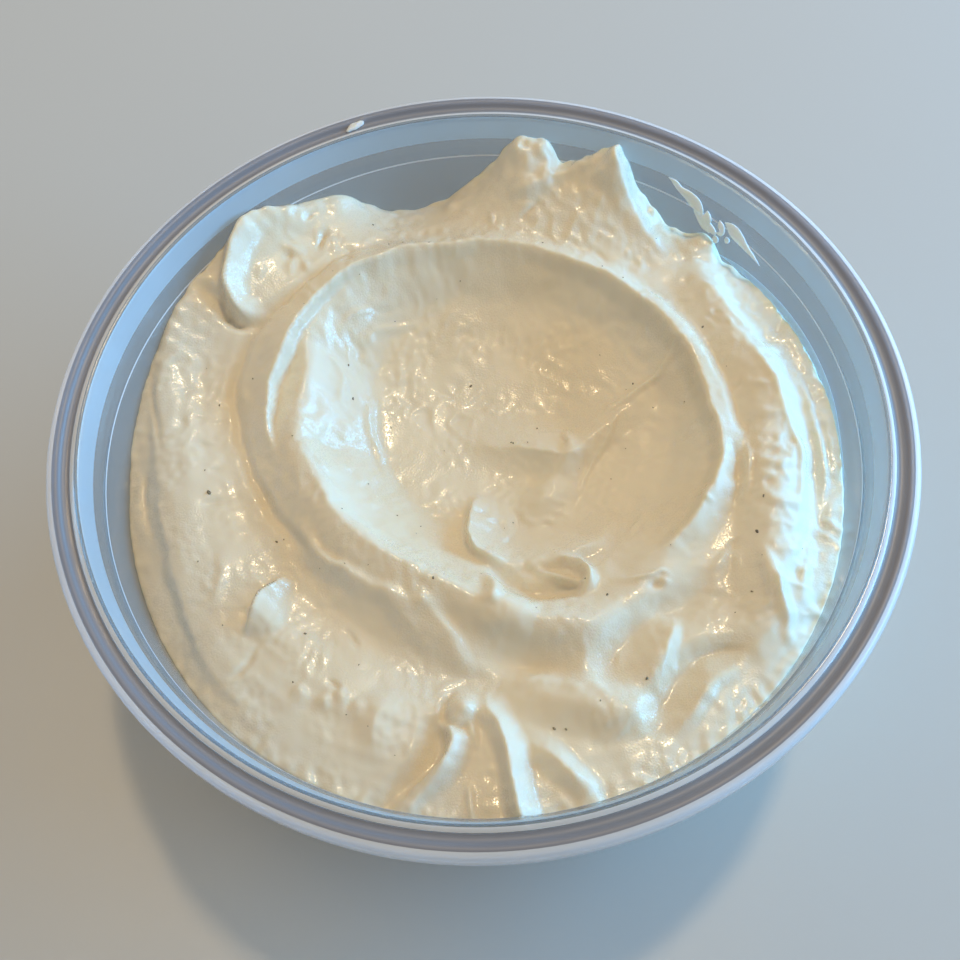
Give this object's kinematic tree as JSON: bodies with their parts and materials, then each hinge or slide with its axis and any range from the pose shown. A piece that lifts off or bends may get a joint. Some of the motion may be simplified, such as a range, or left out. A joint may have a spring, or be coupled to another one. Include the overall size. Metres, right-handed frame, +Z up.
{
  "type": "tzatziki dip",
  "caption": "Thick, creamy off-white dip with a broad spoon-swirled hollow and folds, filling a round clear plastic deli tub with a rolled rim.",
  "frame": {"origin": "centre of the tub's base, on the surface it stands on", "axes": "+Z up through the open top, +X to the right and +Y to the far side as the swirl is usually seen"},
  "size_m": [0.117, 0.117, 0.045],
  "materials": {
    "tub_plastic": "clear, slightly milky polypropylene, smooth and glossy",
    "dip_cream": "moist, satin, creamy off-white with fine specks of herb and pepper"
  },
  "bodies": {
    "root": {"tub": "tub_plastic", "dip": "dip_cream"}
  },
  "joints": []
}
